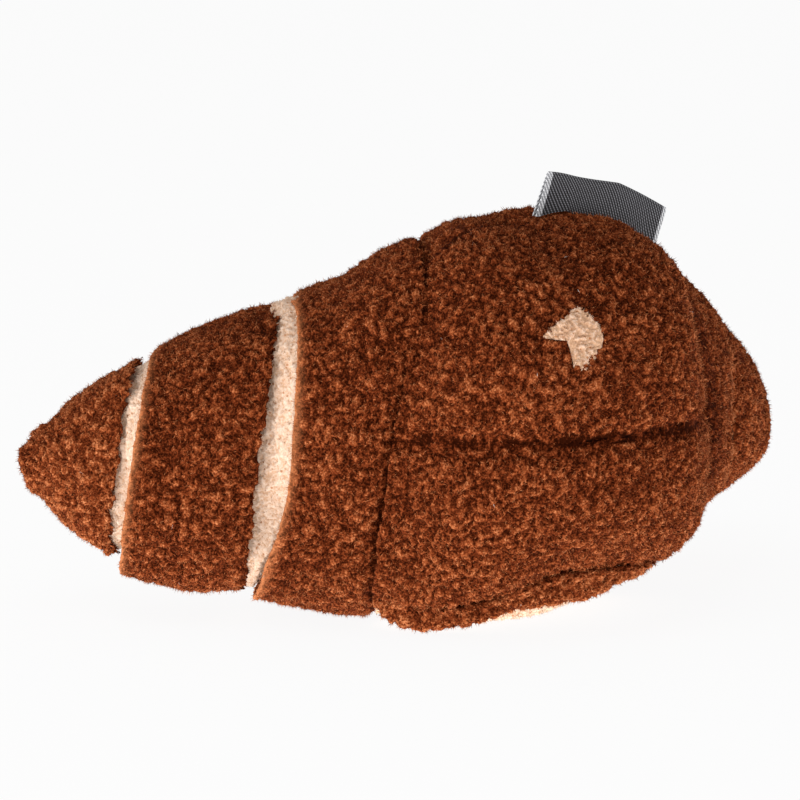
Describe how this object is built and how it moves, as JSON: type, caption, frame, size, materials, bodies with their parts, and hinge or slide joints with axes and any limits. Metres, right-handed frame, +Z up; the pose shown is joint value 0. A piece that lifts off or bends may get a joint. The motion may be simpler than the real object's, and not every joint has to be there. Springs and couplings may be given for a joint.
{
  "type": "plush croissant puppy chew toy",
  "caption": "Stuffed fleece croissant toy for puppies: fat sewn middle, tapering ringed horns that bend, cream inset bands, folded seam label and a squeaker inside.",
  "frame": {"origin": "on the floor under the middle of the fat centre, in the flat of the belly", "axes": "+X to the right along the toy from horn to horn, +Y away from the front towards the horn tips, +Z up"},
  "size_m": [0.165, 0.0958, 0.0878],
  "materials": {
    "brown_fleece": "nubby chocolate-brown fleece",
    "cream_fleece": "nubby cream fleece",
    "fibre_filling": "loose white polyester fibre",
    "label_weave": "charcoal woven twill tape",
    "squeaker_plastic": "soft moulded plastic"
  },
  "bodies": {
    "centre": {"upper_front_panel": "brown_fleece", "lower_front_panel": "brown_fleece", "upper_back_panel": "brown_fleece", "lower_back_panel": "brown_fleece", "front_hem": "brown_fleece", "back_hem": "brown_fleece", "belly_panel": "cream_fleece", "highlight_patch": "cream_fleece", "upper_filling": "fibre_filling", "lower_filling": "fibre_filling", "squeaker_cup": "squeaker_plastic", "squeaker_whistle": "squeaker_plastic", "squeaker_reed": "squeaker_plastic", "left_shoulder_front": "brown_fleece", "left_shoulder_back": "brown_fleece", "right_shoulder_front": "brown_fleece", "right_shoulder_back": "brown_fleece"},
    "left_horn": {"left_collar_front": "brown_fleece", "left_collar_back": "brown_fleece", "left_horn_band": "cream_fleece", "left_horn_filling": "fibre_filling"},
    "right_horn": {"right_collar_front": "brown_fleece", "right_collar_back": "brown_fleece", "right_horn_band": "cream_fleece", "right_horn_filling": "fibre_filling"},
    "left_tip": {"left_tip_front": "brown_fleece", "left_tip_back": "brown_fleece", "left_tip_band": "cream_fleece", "left_tip_filling": "fibre_filling"},
    "right_tip": {"right_tip_front": "brown_fleece", "right_tip_back": "brown_fleece", "right_tip_band": "cream_fleece", "right_tip_filling": "fibre_filling"},
    "label": {"woven_label": "label_weave"},
    "squeaker_button": {"squeaker_dome": "squeaker_plastic"}
  },
  "joints": [
    {"name": "left_horn_bend", "type": "hinge", "parent": "centre", "child": "left_horn", "pos_m": [-0.03155, 0.01933, 0.03169], "axis": [0.1182, -0.0724, 0.9903], "range_deg": [-12, 12], "stiffness_Nm_per_rad": 0.05},
    {"name": "right_horn_bend", "type": "hinge", "parent": "centre", "child": "right_horn", "pos_m": [0.03155, 0.01933, 0.03169], "axis": [-0.1182, -0.0724, 0.9903], "range_deg": [-12, 12], "stiffness_Nm_per_rad": 0.05},
    {"name": "left_tip_bend", "type": "hinge", "parent": "left_horn", "child": "left_tip", "pos_m": [-0.05841, 0.03579, 0.02884], "axis": [0.1182, -0.0724, 0.9903], "range_deg": [-7, 7], "stiffness_Nm_per_rad": 0.01},
    {"name": "right_tip_bend", "type": "hinge", "parent": "right_horn", "child": "right_tip", "pos_m": [0.05841, 0.03579, 0.02884], "axis": [-0.1182, -0.0724, 0.9903], "range_deg": [-7, 7], "stiffness_Nm_per_rad": 0.01},
    {"name": "label_flip", "type": "hinge", "parent": "centre", "child": "label", "pos_m": [0.00293, -0.006, 0.0835], "axis": [0.9269, 0, -0.3754], "range_deg": [-50, 50], "stiffness_Nm_per_rad": 0.0003},
    {"name": "squeaker_press", "type": "slide", "parent": "centre", "child": "squeaker_button", "axis": [0, 1, 0], "range_m": [0, 0.005], "stiffness_N_per_m": 200}
  ]
}
